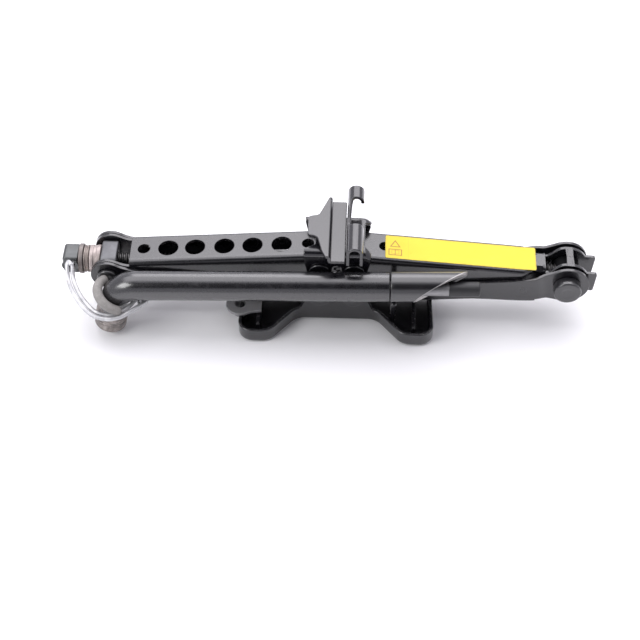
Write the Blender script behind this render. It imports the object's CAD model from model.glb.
import math

import bpy
import numpy as np
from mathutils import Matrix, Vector
from mathutils.geometry import delaunay_2d_cdt


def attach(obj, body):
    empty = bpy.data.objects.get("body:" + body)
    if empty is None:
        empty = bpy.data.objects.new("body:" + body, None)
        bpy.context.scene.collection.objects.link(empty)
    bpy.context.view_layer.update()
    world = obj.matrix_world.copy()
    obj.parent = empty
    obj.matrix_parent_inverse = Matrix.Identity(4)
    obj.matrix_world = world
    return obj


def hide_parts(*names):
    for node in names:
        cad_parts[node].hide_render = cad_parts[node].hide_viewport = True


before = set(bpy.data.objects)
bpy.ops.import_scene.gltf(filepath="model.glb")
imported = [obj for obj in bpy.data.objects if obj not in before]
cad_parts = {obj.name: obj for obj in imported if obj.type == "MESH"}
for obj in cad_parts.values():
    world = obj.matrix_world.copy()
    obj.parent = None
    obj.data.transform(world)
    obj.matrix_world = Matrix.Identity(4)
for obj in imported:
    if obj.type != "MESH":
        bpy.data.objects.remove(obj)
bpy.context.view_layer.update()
MM = 0.001

# ---- Base tray ----------------------------------------------------------------------------
# The foot of the jack: one pressing of 2.6 mm steel with two splayed feet on each side and a
# tall wall at the waist that carries the pins. It is dipped and baked in gloss black paint.
SHEET = 2.6
BASE_X, BASE_Y, WAIST_Y = 75.5, 46.0, 21.1
RIM_Z, CLEVIS_Z, BASE_PIN_Z, PIVOT_X = 13.0, 35.4, 25.8, 13.0


class Value:
    """A shader socket that can be written in sums: each operator adds one Math node."""

    def __init__(self, shop, socket):
        self.shop = shop
        self.socket = socket

    def _math(self, operation, *others):
        node = self.shop.tree.nodes.new("ShaderNodeMath")
        node.operation = operation
        for spot, other in zip(node.inputs, (self, *others)):
            self.shop.feed(spot, other)
        return Value(self.shop, node.outputs[0])

    def __add__(self, other):
        return self._math("ADD", other)

    def __mul__(self, other):
        return self._math("MULTIPLY", other)

    def __sub__(self, other):
        return self._math("SUBTRACT", other)

    def __rsub__(self, other):
        return Value(self.shop, self.shop.number(other))._math("SUBTRACT", self)

    def __lt__(self, other):
        return self._math("LESS_THAN", other)

    __radd__ = __add__
    __rmul__ = __mul__

    def power(self, other):
        return self._math("POWER", other)

    def least(self, other):
        return self._math("MINIMUM", other)

    def most(self, other):
        return self._math("MAXIMUM", other)

    def size(self):
        return self._math("ABSOLUTE")


class Finish:
    """One material being put together: its nodes, and the surface they feed."""

    def __init__(self, name, **constants):
        self.material = bpy.data.materials.new(name)
        self.material.use_nodes = True
        self.tree = self.material.node_tree
        self.shader = self.tree.nodes["Principled BSDF"]
        for socket, value in constants.items():
            self.shader.inputs[socket.replace("_", " ")].default_value = value
        self.place = self.add("TexCoord")["Object"]

    def feed(self, spot, value):
        if isinstance(value, Value):
            value = value.socket
        if isinstance(value, bpy.types.NodeSocket):
            self.tree.links.new(value, spot)
        else:
            spot.default_value = value

    def number(self, value):
        node = self.tree.nodes.new("ShaderNodeValue")
        node.outputs[0].default_value = value
        return node.outputs[0]

    def add(self, kind, settings=(), **sockets):
        """Any other node: its settings first, then the values or links of its sockets."""
        node = self.tree.nodes.new("ShaderNode" + kind)
        for key, value in dict(settings).items():
            setattr(node, key, value)
        for socket, value in sockets.items():
            self.feed(node.inputs[socket.replace("_", " ")], value)
        return {out.name: Value(self, out) for out in node.outputs if out.enabled}

    def noise(self, scale, detail=3.0, rough=0.55, vector=None):
        """Even noise about one half, its scale counted per metre."""
        made = self.add("TexNoise", Vector=vector or self.place, Scale=scale, Detail=detail, Roughness=rough)
        return made["Fac"]

    def steps(self, value, low, high):
        """A value stretched so that low gives 0 and high gives 1, and held there."""
        return self.add("MapRange", Value=value, From_Min=low, From_Max=high)["Result"]

    def mix(self, share, first, second):
        """A colour part way from one to another."""
        node = self.tree.nodes.new("ShaderNodeMix")
        node.data_type = "RGBA"
        for spot, value in zip((0, 6, 7), (share, first, second)):
            self.feed(node.inputs[spot], value if isinstance(value, (Value, float)) else (*value, 1.0))
        return Value(self, node.outputs[2])

    def mask(self, name):
        """A number painted on the mesh, such as how near a cut edge a point is."""
        return self.add("Attribute", {"attribute_name": name})["Fac"]

    def upward(self):
        """1 where the surface faces the sky, 0 on walls and below."""
        normal = self.add("NewGeometry")["Normal"]
        return self.add("SeparateXYZ", Vector=normal)["Z"].most(0.0)

    def surface(self, colour=None, rough=None, metal=None, coat=None, height=None, depth=0.1):
        """Feeds what changes over the surface to the shader. Depth is in millimetres."""
        if height is not None:
            bump = self.add("Bump", Height=height, Distance=depth * MM, Strength=1.0)["Normal"]
            self.feed(self.shader.inputs["Normal"], bump)
        fed = {"Base Color": colour, "Roughness": rough, "Metallic": metal, "Coat Weight": coat}
        for socket, value in fed.items():
            if value is not None:
                self.feed(self.shader.inputs[socket], value)
        return self.material


def black_enamel(name, tone, gloss, dust, wear, peel=0.006):
    """Baked black paint: orange peel, settled dust, fine rubs, and bare spots along cut edges."""
    shop = Finish(name, Specular_IOR_Level=0.55, Coat_Roughness=0.13)
    cloud = shop.noise(38.0, 4.0)
    grit = shop.noise(1400.0, 2.0, 0.6)
    specks = shop.steps(shop.noise(900.0, 1.0, 0.5), 0.72, 0.80)
    settled = shop.steps(shop.noise(90.0, 5.0, 0.65), 0.42, 0.75) * shop.upward().power(3.0)
    rub = shop.steps(shop.noise(260.0, 6.0, 0.75), 0.64, 0.74)
    rubbed = shop.mask("cut_edge") * shop.noise(420.0, 4.0, 0.7)
    bare = shop.steps(rubbed, 0.60 - 0.06 * wear, 0.68) * (0.7 * wear)
    veil = (settled * 0.13 + specks * 0.06) * dust
    paint = shop.mix(cloud, tuple(0.80 * c for c in tone), tuple(1.25 * c for c in tone))
    dusty = shop.mix(veil, paint, (0.15, 0.145, 0.160))
    colour = shop.mix(bare, dusty, (0.12, 0.11, 0.105))
    rough = gloss + cloud * 0.05 + veil * 0.25 + rub * 0.05 * wear + bare * 0.15
    height = shop.noise(330.0, 1.5, 0.5) * 0.8 + grit * 0.02 - bare * 0.4
    return shop.surface(colour, rough, bare * 0.6, 0.8 - veil * 0.6 - bare * 0.6, height, peel)


def new_piece(name, points, faces, material, body, slot, stands_for, sharp=36.0, **masks):
    """A mesh from points in millimetres, smooth but for its real edges, riding on its body."""
    mesh = bpy.data.meshes.new(name)
    mesh.from_pydata((np.asarray(points, float) * MM).tolist(), [], [list(map(int, f)) for f in faces])
    mesh.polygons.foreach_set("use_smooth", [True] * len(mesh.polygons))
    mesh.set_sharp_from_angle(angle=math.radians(sharp))
    mesh.materials.append(material)
    for key, values in masks.items():
        mesh.attributes.new(key, "FLOAT", "POINT").data.foreach_set("value", np.asarray(values, np.float32))
    mesh.validate()
    made = bpy.data.objects.new(name, mesh)
    bpy.context.scene.collection.objects.link(made)
    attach(made, body)
    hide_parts(*([stands_for] if isinstance(stands_for, str) else stands_for))
    return made


def softened(corners, radii, step=0.5, closed=True):
    """A line through the corners with each one turned on its own radius: the arc leaves one
    side and meets the next where both lie radius x tan(half the turn) from the corner."""
    corners = np.asarray(corners, float)
    count = len(corners)
    radii = np.broadcast_to(radii, count)
    line = []
    for k in range(count):
        here = corners[k]
        if not closed and k in (0, count - 1) or radii[k] <= 0:
            line.append(here[None])
            continue
        back = corners[k - 1] - here
        ahead = corners[(k + 1) % count] - here
        room = 0.49 * min(np.linalg.norm(back), np.linalg.norm(ahead))
        back /= np.linalg.norm(back)
        ahead /= np.linalg.norm(ahead)
        half = 0.5 * math.acos(np.clip(back.dot(ahead), -1, 1))
        if half > math.pi / 2 - 0.01:
            line.append(here[None])
            continue
        radius = min(radii[k], room * math.tan(half))
        reach = radius / math.tan(half)
        middle = (back + ahead) / np.linalg.norm(back + ahead)
        centre = here + middle * radius / math.sin(half)
        turn = math.pi - 2 * half
        spokes = max(3, int(turn * radius / step) + 2, int(turn / 0.3) + 2)
        share = np.linspace(0, 1, spokes)[:, None]
        first = here + back * reach - centre
        last = here + ahead * reach - centre
        arc = first * np.sin((1 - share) * turn) + last * np.sin(share * turn)
        line.append(centre + arc / math.sin(turn))
    return np.concatenate(line)


def filled_in(line, step, closed=True):
    """Extra points along a line, so that none of its pieces is longer than the step."""
    line = np.asarray(line, float)
    ends = np.roll(line, -1, 0) if closed else line[1:]
    starts = line if closed else line[:-1]
    parts = []
    for a, b in zip(starts, ends):
        pieces = max(1, int(np.ceil(np.linalg.norm(b - a) / step)))
        parts.append(a + (b - a) * (np.arange(pieces) / pieces)[:, None])
    if not closed:
        parts.append(line[-1:])
    return np.concatenate(parts)


def moved_in(outline, distance):
    """A counter-clockwise outline moved inwards by one distance, corners mitred."""
    a = outline - np.roll(outline, 1, 0)
    b = np.roll(outline, -1, 0) - outline
    a /= np.linalg.norm(a, axis=1)[:, None]
    b /= np.linalg.norm(b, axis=1)[:, None]
    side_a = np.column_stack([-a[:, 1], a[:, 0]])
    side_b = np.column_stack([-b[:, 1], b[:, 0]])
    total = side_a + side_b
    total /= np.maximum((total * side_a).sum(1), 0.45)[:, None]
    return outline + total * distance


def ring_faces(rings, sides, closed=False, offset=0):
    """Quads between neighbouring rings of one grid, wrapped round each ring."""
    a = np.arange(rings if closed else rings - 1)[:, None] * sides
    b = (a + sides) % (rings * sides) if closed else a + sides
    i = np.arange(sides)[None]
    j = (i + 1) % sides
    return (np.stack([a + i, a + j, b + j, b + i], axis=-1).reshape(-1, 4) + offset).tolist()


plan_quarter = [(BASE_X - 1.5, 0), (BASE_X, -BASE_Y), (51, -BASE_Y), (30.5, -WAIST_Y), (0, -WAIST_Y)]
plan_radii = [0, 11, 14, 14, 0]


def base_plan():
    """The tray's plan, the quarter at +X -Y turned about both middle lines."""
    corner = filled_in(softened(plan_quarter, plan_radii, 0.8, closed=False), 1.6, closed=False)[::-1]
    east = np.concatenate([corner, (corner[::-1] * (1, -1))[1:]])
    return np.concatenate([east, (east[::-1] * (-1, 1))[1:-1]])


def wall_height(x):
    """The rim's height along the waist: level over the two pins, round at its ends, then down."""
    x = np.abs(x)
    crown = BASE_PIN_Z + np.sqrt(np.maximum(9.6 ** 2 - (x - PIVOT_X) ** 2, 0.0))
    slope = 27.4 - (x - 22.4) * (27.4 - RIM_Z) / 5.4
    return np.select([x <= PIVOT_X, x <= 22.4, x <= 27.8], [CLEVIS_Z, np.maximum(crown, 27.4), slope], RIM_Z)


def tray():
    """The wall's profile carried round the plan: stations run from the floor out through the
    bend, up the outside, over a round rim and down the inside. Each is a distance in from the
    plan, a height, and the share of the rim's own height at that place which is added to it."""
    line = base_plan()
    rim = wall_height(line[:, 0])
    turn = np.linspace(0.0, math.pi / 2, 6)
    lip = np.linspace(0.0, math.pi, 9)
    stations = [(5.4, 0.0, 0.0)]
    stations += [(3.0 - 3.0 * math.sin(t), 3.0 - 3.0 * math.cos(t), 0.0) for t in turn]
    stations += [(0.0, 0.0, 0.5), (0.0, -1.6, 1.0)]
    stations += [(SHEET / 2 - SHEET / 2 * math.cos(t), 0.9 * math.sin(t) - 0.9, 1.0) for t in lip]
    stations += [(SHEET, -1.6, 1.0), (SHEET, 0.0, 0.5)]
    stations += [(4.0 - 1.4 * math.sin(t), 4.0 - 1.4 * math.cos(t), 0.0) for t in turn[::-1]]
    stations += [(5.4, SHEET, 0.0)]
    points = [np.column_stack([moved_in(line, depth), z + share * rim]) for depth, z, share in stations]
    edge = [np.full(len(line), 1.0 if share == 1.0 and z > -1.0 else 0.0) for depth, z, share in stations]
    sides = len(line)
    faces = ring_faces(len(stations), sides)
    faces.append(list(range(sides))[::-1])
    faces.append(list(range((len(stations) - 1) * sides, len(stations) * sides)))
    return np.concatenate(points), faces, np.concatenate(edge)


tray_paint = black_enamel("base_black_enamel", (0.0050, 0.0047, 0.0066), 0.22, 0.6, 0.6)
points, faces, edge = tray()
new_piece("base_pressing", points, faces, tray_paint, "base", "black_ecoat", "base_tray", cut_edge=edge)

# ---- Base ribs ------------------------------------------------------------------------------
# Two upright strips of the same steel welded across the feet inside the tray, painted with it.


def inside_of(points, outline):
    """Whether each point lies inside an outline: it does when a line from it crosses the
    outline an odd number of times."""
    ends = np.roll(outline, -1, 0)
    above = (outline[None, :, 1] > points[:, None, 1]) != (ends[None, :, 1] > points[:, None, 1])
    rise = np.where(ends[:, 1] == outline[:, 1], 1e-9, ends[:, 1] - outline[:, 1])
    cross = outline[:, 0] + (points[:, None, 1] - outline[:, 1]) * (ends[:, 0] - outline[:, 0]) / rise
    return (above & (points[:, None, 0] < cross)).sum(1) % 2 == 1


def lifted(place, flat, height):
    """Points of a folded sheet: the fold's own place for each flat point, then out along the
    cross product of its two slopes by a height."""
    step = 1e-3
    slope_a = place(flat + (step, 0)) - place(flat - (step, 0))
    slope_b = place(flat + (0, step)) - place(flat - (0, step))
    normal = np.cross(slope_a, slope_b)
    normal /= np.linalg.norm(normal, axis=1)[:, None]
    return place(flat) + normal * height


def twice_area(outline):
    """Twice the area inside an outline, above 0 where it runs counter-clockwise."""
    ahead = np.roll(outline, -1, 0)
    return np.sum(outline[:, 0] * ahead[:, 1] - outline[:, 1] * ahead[:, 0])


def pressed(outline, holes, rows, place, thick=SHEET, edge=0.45):
    """A blank with holes, folded by a function of its two flat measures. Both faces are one
    triangle net over the outline; round every outline the rim is a profile of insets and
    heights, a quarter turn of the edge radius at each face, carried along it."""
    loops = [outline if twice_area(outline) > 0 else outline[::-1]]
    loops += [hole[::-1] if twice_area(hole) > 0 else hole for hole in holes]
    hold = edge * 1.35
    inner = [moved_in(loop, hold) for loop in loops]
    border = np.concatenate(inner)
    grid = np.stack(np.meshgrid(*rows, indexing="ij"), axis=-1).reshape(-1, 2)
    keep = inside_of(grid, inner[0])
    for hole in inner[1:]:
        keep &= ~inside_of(grid, hole)
    grid = grid[keep]
    near = np.array([np.min(np.sum((border - p) ** 2, axis=1)) for p in grid]) if len(grid) else np.zeros(0)
    grid = grid[near > 0.16]
    flat = np.concatenate([border, grid])
    links = []
    start = 0
    for loop in inner:
        ids = np.arange(len(loop)) + start
        links += np.column_stack([ids, np.roll(ids, -1)]).tolist()
        start += len(loop)
    net = delaunay_2d_cdt([Vector(p) for p in flat.tolist()], links, [], 0, 1e-5, True)
    out, from_in = np.array([tuple(p) for p in net[0]]), net[3]
    faces = np.array([f for f in net[2] if len(f) == 3])
    middle = out[faces].mean(1)
    keep = inside_of(middle, inner[0])
    for hole in inner[1:]:
        keep &= ~inside_of(middle, hole)
    faces = faces[keep]
    first = {source: k for k, sources in enumerate(from_in) for source in sources}
    count = len(out)
    points = [lifted(place, out, thick / 2), lifted(place, out, -thick / 2)]
    all_faces = faces.tolist() + (faces[:, ::-1] + count).tolist()
    marks = [np.zeros(2 * count)]
    total = 2 * count
    arc_in = np.linspace(0, math.pi / 2, 4)
    stations = [(edge - edge * math.sin(t), thick / 2 - edge + edge * math.cos(t)) for t in arc_in]
    stations += [(d, -h) for d, h in stations[::-1]]
    start = 0
    for loop in loops:
        size = len(loop)
        ids = np.array([first[start + i] for i in range(size)])
        rings = [ids]
        for depth, height in stations:
            points.append(lifted(place, moved_in(loop, depth), height))
            marks.append(np.ones(size))
            rings.append(np.arange(size) + total)
            total += size
        rings.append(ids + count)
        for top, low in zip(rings[:-1], rings[1:]):
            all_faces += np.column_stack([top, low, np.roll(low, -1), np.roll(top, -1)]).tolist()
        start += size
    return np.concatenate(points), all_faces, np.concatenate(marks)


def round_hole(a, b, radius, sides=48):
    turn = np.linspace(0, 2 * math.pi, sides, endpoint=False)
    return np.column_stack([a + radius * np.cos(turn), b + radius * np.sin(turn)])


def spaced(low, high, step):
    return np.linspace(low, high, max(2, int(round((high - low) / step)) + 1))


def upright(flat, x):
    """A sheet standing across the jack at one X: its flat measures are Y and Z."""
    return np.column_stack([np.full(len(flat), x), flat])


rib_outline = filled_in(softened([(-38.3, 2.9), (38.3, 2.9), (38.3, 12.2), (-38.3, 12.2)], 1.2), 1.5)
RIB_X, RIB_THICK = 60.0, 2.9
for side, name in ((-1, "left"), (1, "right")):
    points, faces, edge = pressed(rib_outline, [], (spaced(-37, 37, 4), spaced(4, 11, 3)),
                                  lambda flat, x=RIB_X * side: upright(flat, x), RIB_THICK)
    new_piece("rib_" + name, points, faces, tray_paint, "base", "black_ecoat", "base_rib_" + name,
              cut_edge=edge)

# ---- Strap tab ------------------------------------------------------------------------------
# A round-ended tab with a punched hole, spot welded level over the left end of the tray. The
# strap that holds the jack down in the car goes through it.


def with_poles(points, faces, sides, low, high):
    """A tube's two ends closed, each with a fan of triangles round one more point."""
    i = np.arange(sides)
    j = (i + 1) % sides
    last = len(points) - sides
    pole = np.full(sides, len(points))
    fans = [np.column_stack([pole, j, i]), np.column_stack([pole + 1, last + i, last + j])]
    return np.concatenate([points, [low, high]]), faces + np.concatenate(fans).tolist()


def turned(profile, centre, along="Y", sides=56, closed=False):
    """A lathe shape: every ring is the centre plus its radius times the cosine and sine of the
    turn, at its distance along the axis. An open profile ends in a pole on the axis."""
    profile = np.asarray(profile, float)
    turn = np.linspace(0, 2 * math.pi, sides, endpoint=False)
    order = {"X": [2, 0, 1], "Y": [0, 2, 1], "Z": [0, 1, 2]}[along]
    rings = profile if closed else profile[1:-1]
    grid = np.stack([centre[0] + rings[:, 1:] * np.cos(turn), centre[1] + rings[:, 1:] * np.sin(turn),
                     np.broadcast_to(rings[:, :1], (len(rings), sides))], axis=-1)[..., order]
    points = grid.reshape(-1, 3)
    faces = ring_faces(len(rings), sides, closed)
    if not closed:
        poles = np.array([[centre[0], centre[1], profile[k, 0]] for k in (0, -1)])[:, order]
        points, faces = with_poles(points, faces, sides, *poles)
    return outward(points, faces)


def outward(points, faces):
    """The faces turned round if they enclose a negative volume, by the sum of corner products."""
    triangles = np.array([f[:3] for f in faces] + [[f[0], f[k], f[k + 1]] for f in faces if len(f) > 3
                                                   for k in range(2, len(f) - 1)])
    volume = np.linalg.det(points[triangles]).sum()
    return points, [f[::-1] for f in faces] if volume < 0 else faces


TAB_X, TAB_Y, TAB_R, TAB_HOLE_R = -74.5, -20.5, 11.1, 4.2
tab_turn = np.radians(np.linspace(56, 304, 60))
tab_round = np.column_stack([TAB_X + TAB_R * np.cos(tab_turn), TAB_Y + TAB_R * np.sin(tab_turn)])
tab_line = np.concatenate([tab_round, [(-65.0, -28.6), (-57.7, -27.4), (-57.7, -13.6), (-65.0, -12.4)]])
tab_hole = round_hole(TAB_X, TAB_Y, TAB_HOLE_R)
tab_rows = (spaced(-84, -59, 3), spaced(-30, -11, 3))
tab_z = RIM_Z + 0.3 + SHEET / 2
points, faces, edge = pressed(filled_in(tab_line, 1.5), [tab_hole], tab_rows,
                              lambda flat: np.column_stack([flat, np.full(len(flat), tab_z)]), SHEET, 0.6)
tab_paint = black_enamel("tab_black_enamel", (0.006, 0.0057, 0.0075), 0.24, 1.0, 0.9)
tab_worn = black_enamel("strap_tab_worn_enamel", (0.21, 0.208, 0.212), 0.34, 0.8, 0.9)
collar = softened([(5.4, 4.3), (5.4, 5.6), (RIM_Z + 0.5, 5.9), (RIM_Z + 0.5, 4.3)], 0.4, 0.25)
collar_points, collar_faces = turned(collar, (TAB_X, TAB_Y), "Z", 48, closed=True)
faces = faces + [[i + len(points) for i in face] for face in collar_faces]
points = np.concatenate([points, collar_points])
edge = np.concatenate([edge, np.zeros(len(collar_points))])
new_piece("strap_tab_plate", points, faces, tab_worn, "base", "black_ecoat", "strap_tab", cut_edge=edge)

# ---- Wrench cradle --------------------------------------------------------------------------
# A narrow strip standing off the tray, curled at its top into a bed for the wrench's sleeve.
WRENCH_Y, CORNER_X, CORNER_Z = -34.0, -166.0, 47.2
RISE = math.radians(1.9)
to_tip = np.array([math.cos(RISE), 0.0, math.sin(RISE)])
corner = np.array([CORNER_X, WRENCH_Y, CORNER_Z])


def tube_point(x):
    """The middle of the straight bar: the corner plus its direction times the run along X."""
    return corner + to_tip * ((x - CORNER_X) / to_tip[0])


def folded(profile):
    """A fold about lines along X or Y: a profile in the plane across them, walked by length."""
    profile = np.asarray(profile, float)
    walked = np.concatenate([[0.0], np.cumsum(np.linalg.norm(np.diff(profile, axis=0), axis=1))])
    first_slope = (profile[1] - profile[0]) / (walked[1] - walked[0])
    last_slope = (profile[-1] - profile[-2]) / (walked[-1] - walked[-2])

    def across(length):
        first = profile[0] + first_slope * np.minimum(length, 0)[:, None]
        last = last_slope * np.maximum(length - walked[-1], 0)[:, None]
        inner = np.column_stack([np.interp(length, walked, profile[:, k]) for k in (0, 1)])
        return np.where(length[:, None] < 0, first, inner + last)

    return across, walked


bed_mid = tube_point(43.6)
bed_turn = np.radians(np.linspace(318, 222, 30))
bed = bed_mid[1:] + 13.25 * np.column_stack([np.cos(bed_turn), np.sin(bed_turn)])
strip_profile = np.concatenate([[(-25.65, 3.2)], [(-25.65, 37.0)], bed])
across, walked = folded(strip_profile)
strip = filled_in(softened([(41.5, 0.2), (45.7, 0.2), (45.7, walked[-1] - 0.2), (41.5, walked[-1] - 0.2)],
                           [0.4, 0.4, 1.6, 1.6]), 0.8)


def cradle_fold(flat):
    side = across(flat[:, 1])
    return np.column_stack([flat[:, 0], side])


points, faces, edge = pressed(strip, [], (spaced(42.4, 44.8, 1.2), walked[:-1]), cradle_fold, 2.2, 0.5)
new_piece("cradle_strip", points, faces, tab_paint, "base", "black_ecoat", "wrench_cradle", cut_edge=edge)

# ---- Base pins ------------------------------------------------------------------------------
# Two cold-headed pins through the tray's walls and the lower arms, their ends peened into flat
# round heads and painted over.


PIN_SHANK_R = 4.5


def pin_profile(front, reach, back, head, dish=0.35):
    """Half a headed pin: a shallow dish in each head, a round rim, then the shank between."""
    line = [(front + dish, 0.0), (front + dish, head * 0.42), (front, head * 0.62), (front, head),
            (-reach, head), (-reach, PIN_SHANK_R), (reach, PIN_SHANK_R), (reach, head), (back, head),
            (back, head * 0.62), (back - dish, head * 0.42), (back - dish, 0.0)]
    return softened(line, [0, 1.5, 1.5, 0.9, 0.4, 0.1, 0.1, 0.4, 0.9, 1.5, 1.5, 0], 0.35, closed=False)


pin_paint = black_enamel("pin_black_enamel", (0.0050, 0.0047, 0.0066), 0.24, 0.6, 1.1)
for x, name in ((-PIVOT_X, "left"), (PIVOT_X, "right")):
    points, faces = turned(pin_profile(-22.65, 21.4, 24.3, 8.4), (x, BASE_PIN_Z))
    new_piece("base_pin_turned_" + name, points, faces, pin_paint, "base", "pin_black", "base_pin_" + name,
              cut_edge=np.zeros(len(points)))

# ---- Arms -----------------------------------------------------------------------------------
# Four channels folded from the same sheet. Each has a web, two flanges that end in round ears
# at the screw and in gear teeth at the inner pins, and holes punched to save weight.
LINK = 163.2
FOLD = math.radians(5.0)
TRUNNION_X = PIVOT_X + LINK * math.cos(FOLD)
TRUNNION_Z = BASE_PIN_Z + LINK * math.sin(FOLD)
HEAD_PIN_Z = TRUNNION_Z + LINK * math.sin(FOLD)
WEB_W, FLANGE_W = 10.2, 9.0
UPPER_HALF, LOWER_HALF = 15.0, 18.0
TEETH = 16
MODULE = 2 * PIVOT_X / TEETH
ROOT_R, TIP_R = PIVOT_X - 1.25 * MODULE, PIVOT_X + 0.85 * MODULE
WEB_START, WEB_END = 3.0, LINK - 17.5
MID_R = 2.3


def arm_frame(upper, side):
    """Along the arm, across the jack and out from the web, as one turn about the inner pin."""
    slope = -FOLD if upper else FOLD
    web_side = 1 if upper else -1
    along = np.array([side * math.cos(slope), 0.0, math.sin(slope)])
    up = np.array([-side * math.sin(slope), 0.0, math.cos(slope)]) * web_side
    start = np.array([side * PIVOT_X, 0.0, HEAD_PIN_Z if upper else BASE_PIN_Z])
    return lambda u, y, w: start + np.outer(u, along) + np.outer(y, (0, 1, 0)) + np.outer(w, up)


def channel_fold(half_at, top, radius, bent_from, bent_to, put, deeper=lambda u: 0.0 * u):
    """A channel from a flat blank. Across it, first the level web, then a quarter turn of the
    mid radius (sine out, one less cosine down), then the flange straight down. Ears past the
    ends of the web stay flat. Returns the fold and the blank's measure for a flange height."""
    quarter = radius * math.pi / 2

    def fold(flat):
        u, q = flat[:, 0], np.abs(flat[:, 1])
        level = half_at(u) - radius
        bent = (u > bent_from) & (u < bent_to)
        turn = np.clip((q - level) / radius, 0, math.pi / 2)
        turn = np.where(bent, turn, math.pi / 2)
        down = np.where(bent, np.maximum(q - level - quarter, 0), q - level - quarter)
        y = np.where(bent, np.minimum(q, level), level) + radius * np.sin(turn)
        return put(u, y * np.sign(flat[:, 1]), top + deeper(u) - radius * (1 - np.cos(turn)) - down)

    def measure(u, w):
        return half_at(u) + quarter - radius + top + deeper(u) - radius - w

    return fold, measure


def gear_edge(phase):
    """Involute teeth on the pitch circle through the touching point: at each radius the flank
    stands half a pitch from the tooth's middle less the involute of the pressure angle."""
    base_r = PIVOT_X * math.cos(math.radians(20))
    radius = np.linspace(ROOT_R, TIP_R, 7)

    def spread(r):
        turn = np.arccos(np.minimum(1.0, base_r / np.maximum(r, base_r)))
        return np.tan(turn) - turn

    reach = math.pi / TEETH / 2 + spread(np.array([PIVOT_X])) - spread(radius) - 0.22 / radius
    pitch = 2 * math.pi / TEETH
    first = math.ceil((math.radians(144) - phase) / pitch)
    last = math.floor((math.radians(276) - phase) / pitch)
    line = []
    for k in range(first, last + 1):
        middle = phase + k * pitch
        for flank, way in ((middle - reach, 1), (middle + reach, -1)):
            line.append(np.column_stack([radius * np.cos(flank), -radius * np.sin(flank)])[::way])
    return np.concatenate(line)


def eased(u, low_u, high_u, low, high, slope):
    """A cubic from one height to another, level at its start and with a given slope at its end."""
    run = high_u - low_u
    t = (u - low_u) / run
    return low + (high - low) * t * t * (3 - 2 * t) + slope * run * (t ** 3 - t ** 2)


def flange_edge(ear_r, phase, lug, deeper, web_end):
    """The flange's edge seen from the side, from the web's inner end round the teeth, along the
    open edge, round the ear and back up to the web's outer end."""
    bend_w = WEB_W - SHEET / 2 - MID_R
    teeth = gear_edge(phase)[::-1]
    knuckle_r = ROOT_R + 0.15
    begin = math.atan2(teeth[-1, 1], teeth[-1, 0]) % (2 * math.pi)
    turn = np.linspace(begin + 0.06, 2 * math.pi - math.asin(FLANGE_W / knuckle_r), 14)
    knuckle = knuckle_r * np.column_stack([np.cos(turn), np.sin(turn)])
    side = -6.0
    meet = math.sqrt(ear_r ** 2 - side ** 2)
    first = math.atan2(-meet, side)
    ear_turn = np.linspace(first, math.atan2(meet, side), 64)
    ear = np.array([LINK, 0.0]) + ear_r * np.column_stack([np.cos(ear_turn), np.sin(ear_turn)])
    flare = LINK + np.linspace(-44.0, side, 24)[:-1]
    flare_edge = -eased(flare, LINK - 44.0, LINK + side, FLANGE_W, meet, -side / meet)
    bend_out = bend_w + deeper(web_end)
    rise = LINK + np.linspace(side, web_end + 0.8 - LINK, 12)[1:]
    rise_edge = eased(rise, web_end + 0.8, LINK + side, bend_out, meet, -side / meet)
    if lug:
        tail = softened([(LINK + 14.0, -8.5), (LINK + 21.8, -8.5), (LINK + 21.8, 9.6), (LINK + 13.4, 9.6)],
                        [0, 1.5, 1.5, 0], closed=False)
        ear = np.concatenate([ear[ear[:, 1] < -8.8], tail, ear[ear[:, 1] > 9.9]])
    start = [(WEB_START, bend_w), (WEB_START - 0.7, bend_w), (WEB_START - 0.7, 10.6)]
    rest = np.concatenate([knuckle, [(20.0, -FLANGE_W), (80.0, -FLANGE_W)],
                           np.column_stack([flare, flare_edge]), ear,
                           np.column_stack([rise, rise_edge]), [(web_end, bend_out)]])
    return np.concatenate([start, teeth, rest])


def channel_rows(level, bend, wall, step):
    """Flat measures across a channel: up one wall and its bend, over the web, and down again."""
    return np.concatenate([-wall[::-1], -bend[::-1], spaced(-level + 2, level - 2, step), bend, wall])


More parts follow.
